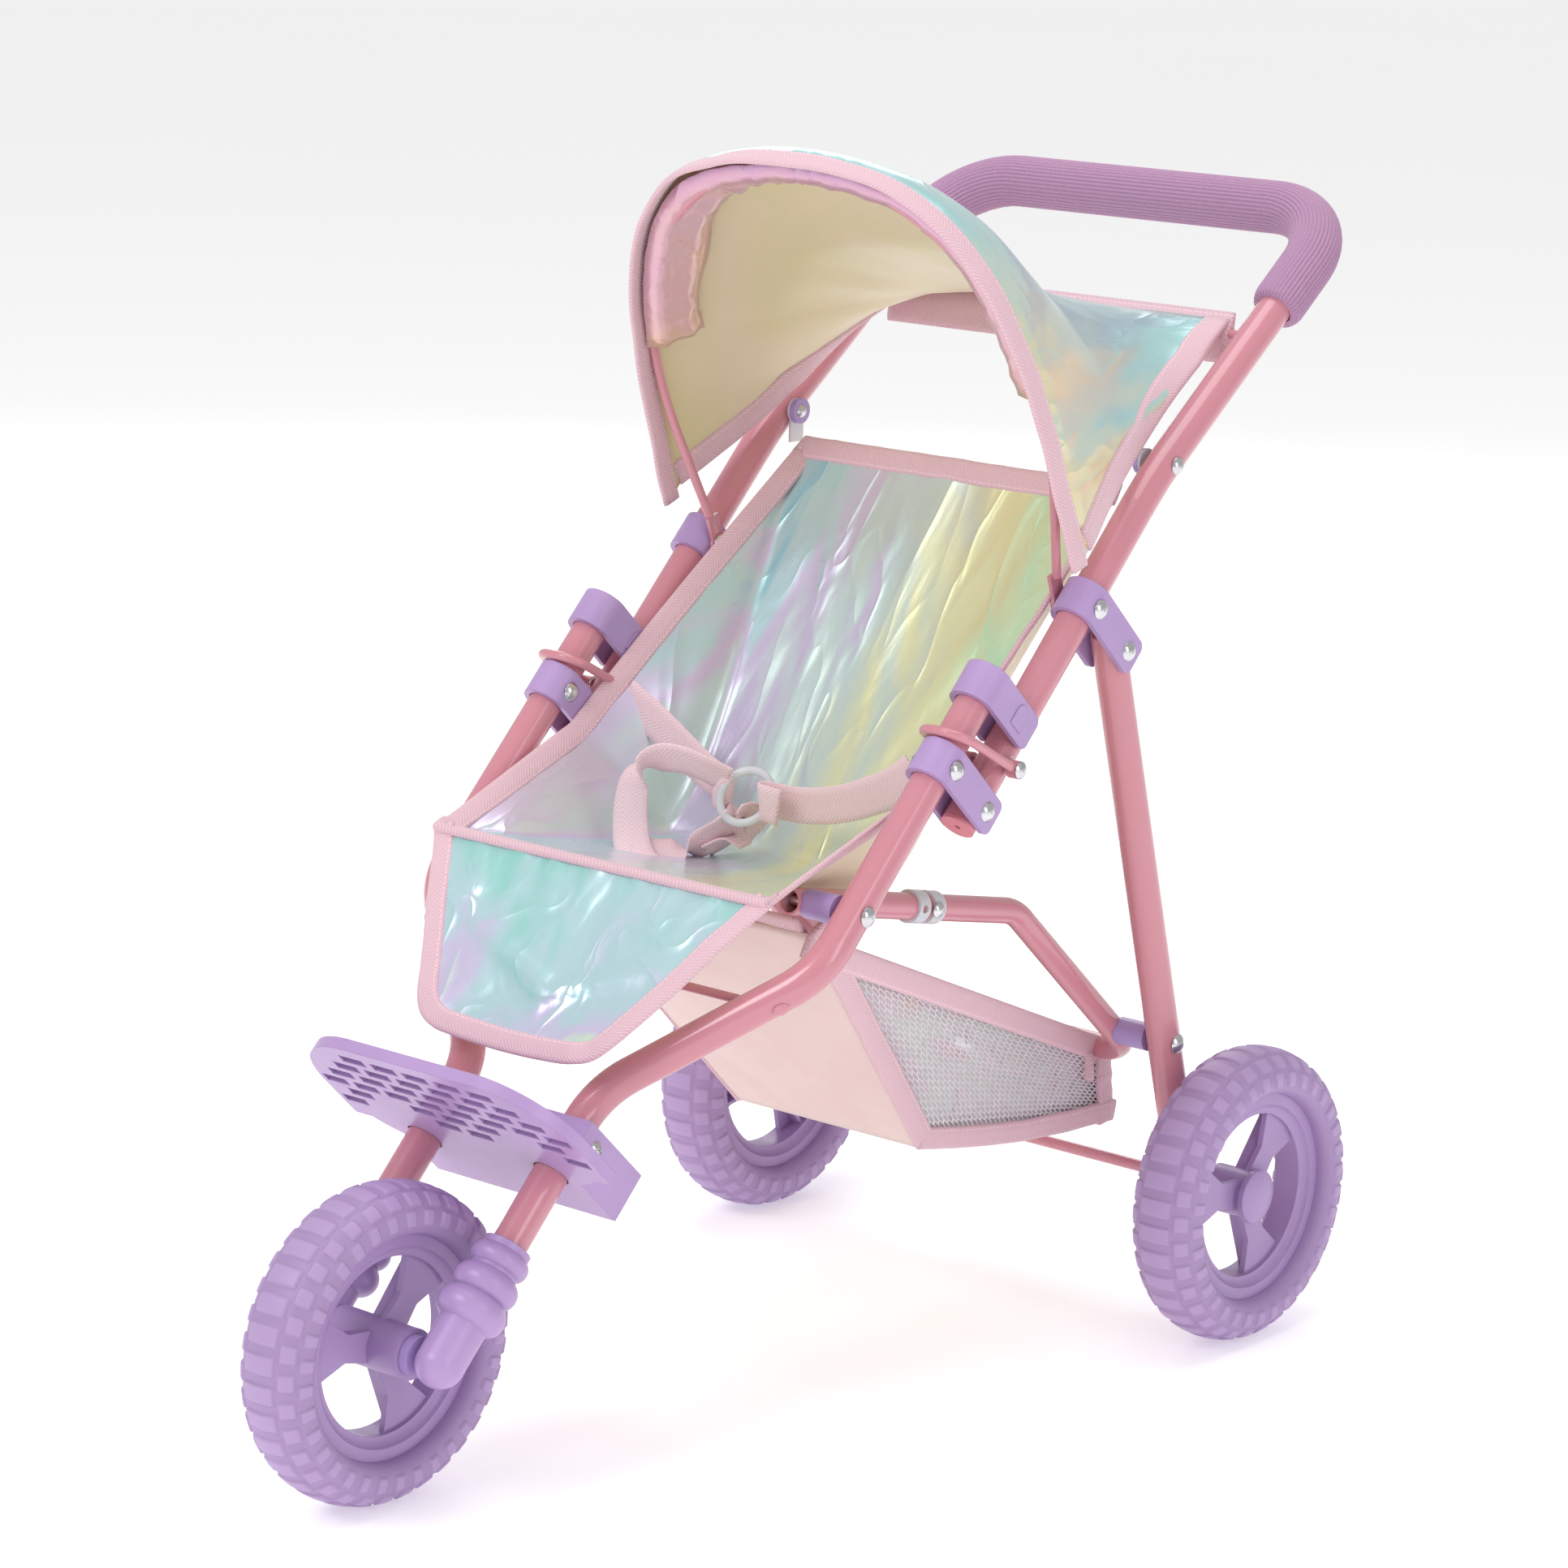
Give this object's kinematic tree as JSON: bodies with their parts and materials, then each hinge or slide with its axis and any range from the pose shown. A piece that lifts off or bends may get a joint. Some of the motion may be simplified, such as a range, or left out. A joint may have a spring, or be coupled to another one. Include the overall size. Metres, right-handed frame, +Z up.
{
  "type": "doll stroller",
  "caption": "Folding three-wheeled doll stroller with tube frame, foam-gripped handle, hammock seat with harness, folding canopy, footrest and under-seat basket.",
  "frame": {"origin": "on the floor below the middle of the stroller's length and width", "axes": "+X to the stroller's left-hand side as seen from in front (the side facing the viewer), +Y from the front wheel to the handle, +Z up"},
  "size_m": [0.349, 0.6468, 0.593],
  "materials": {
    "pink_paint": "gloss",
    "lilac_plastic": "semi-gloss",
    "lilac_wheel": "semi-gloss",
    "lilac_tyre": "matt",
    "mauve_foam": "matt ribbed",
    "steel": "bright",
    "pink_plastic": "satin",
    "purple_plastic": "semi-gloss",
    "white_plastic": "satin",
    "iridescent_cloth": "iridescent sheen",
    "aqua_cloth": "iridescent sheen",
    "basket_cloth": "satin and mesh",
    "pink_webbing": "woven"
  },
  "bodies": {
    "front_frame": {"front_tube_right": "pink_paint", "front_tube_left": "pink_paint", "lower_bracket_right": "lilac_plastic", "lower_bracket_left": "lilac_plastic", "upper_hood_right": "lilac_plastic", "upper_hood_left": "lilac_plastic", "lower_bracket_rivets": "steel", "fold_pivot_rivets": "steel", "link_front_rivets": "steel", "front_cross_rod": "pink_paint", "footrest": "lilac_plastic", "footrest_screws": "steel", "fork_end_right": "lilac_plastic", "fork_end_left": "lilac_plastic", "front_axle": "steel", "front_hub_spacers": "purple_plastic", "seat": "iridescent_cloth", "calf_panel": "aqua_cloth", "waist_straps": "pink_webbing", "crotch_strap": "pink_webbing", "harness_ring": "white_plastic"},
    "front_wheel": {"front_rim": "lilac_wheel", "front_tyre": "lilac_tyre"},
    "handle_frame": {"handle_tube": "pink_paint", "handle_grip": "mauve_foam", "handle_end_plugs": "pink_plastic", "leg_bracket_right": "lilac_plastic", "leg_bracket_left": "lilac_plastic", "leg_bracket_rivets": "steel", "leg_pivot_rivets": "steel", "canopy_rear_rod": "pink_paint", "seat_hanger_tabs": "white_plastic", "hanger_washers": "purple_plastic", "hanger_screws": "steel", "ring_pivot_rivets": "steel", "canopy": "iridescent_cloth"},
    "lock_ring_right": {"lock_ring_right": "pink_paint"},
    "lock_ring_left": {"lock_ring_left": "pink_paint"},
    "canopy_bow": {"canopy_bow": "pink_paint"},
    "rear_legs": {"rear_leg_right": "pink_paint", "rear_leg_left": "pink_paint", "rear_axle": "pink_paint", "rear_hub_spacers": "lilac_plastic", "link_rear_rivets": "steel"},
    "rear_wheel_right": {"rear_rim_right": "lilac_wheel", "rear_tyre_right": "lilac_tyre", "rear_cap_right": "lilac_wheel"},
    "rear_wheel_left": {"rear_rim_left": "lilac_wheel", "rear_tyre_left": "lilac_tyre", "rear_cap_left": "lilac_wheel"},
    "link_frame": {"link_tube": "pink_paint", "link_spacers": "purple_plastic", "link_clips": "white_plastic", "link_clip_rivets": "steel", "basket": "basket_cloth"}
  },
  "joints": [
    {"name": "fold", "type": "hinge", "parent": "front_frame", "child": "handle_frame", "pos_m": [0, 0.01839, 0.29866], "axis": [1, 0, 0], "range_deg": [-150, 0], "deforming": ["basket", "lock_ring_right", "lock_ring_left"]},
    {"name": "leg_fold", "type": "hinge", "parent": "handle_frame", "child": "rear_legs", "pos_m": [0, 0.12541, 0.35977], "axis": [1, 0, 0], "range_deg": [0, 103]},
    {"name": "link_fold", "type": "hinge", "parent": "front_frame", "child": "link_frame", "pos_m": [0, -0.06375, 0.26287], "axis": [1, 0, 0], "range_deg": [-86, 0]},
    {"name": "lock_ring_right_turn", "type": "hinge", "parent": "handle_frame", "child": "lock_ring_right", "pos_m": [0.121, 0.03591, 0.31649], "axis": [1, 0, 0], "range_deg": [-80, 0]},
    {"name": "lock_ring_left_turn", "type": "hinge", "parent": "handle_frame", "child": "lock_ring_left", "pos_m": [-0.121, 0.03591, 0.31649], "axis": [1, 0, 0], "range_deg": [-80, 0]},
    {"name": "canopy_bow_turn", "type": "hinge", "parent": "handle_frame", "child": "canopy_bow", "pos_m": [0, 0.10152, 0.38325], "axis": [1, 0, 0], "range_deg": [-48, 0], "deforming": ["canopy"]},
    {"name": "front_wheel_spin", "type": "hinge", "parent": "front_frame", "child": "front_wheel", "pos_m": [0, -0.24837, 0.075], "axis": [1, 0, 0], "continuous": true},
    {"name": "rear_wheel_right_spin", "type": "hinge", "parent": "rear_legs", "child": "rear_wheel_right", "pos_m": [0.156, 0.20523, 0.075], "axis": [1, 0, 0], "continuous": true},
    {"name": "rear_wheel_left_spin", "type": "hinge", "parent": "rear_legs", "child": "rear_wheel_left", "pos_m": [-0.156, 0.20523, 0.075], "axis": [1, 0, 0], "continuous": true}
  ],
  "couplings": [
    {"joint": "leg_fold", "follows": "fold", "ratio": -0.6845},
    {"joint": "link_fold", "follows": "fold", "ratio": 0.5728},
    {"joint": "lock_ring_right_turn", "follows": "fold", "ratio": 0.53},
    {"joint": "lock_ring_left_turn", "follows": "fold", "ratio": 0.53}
  ]
}
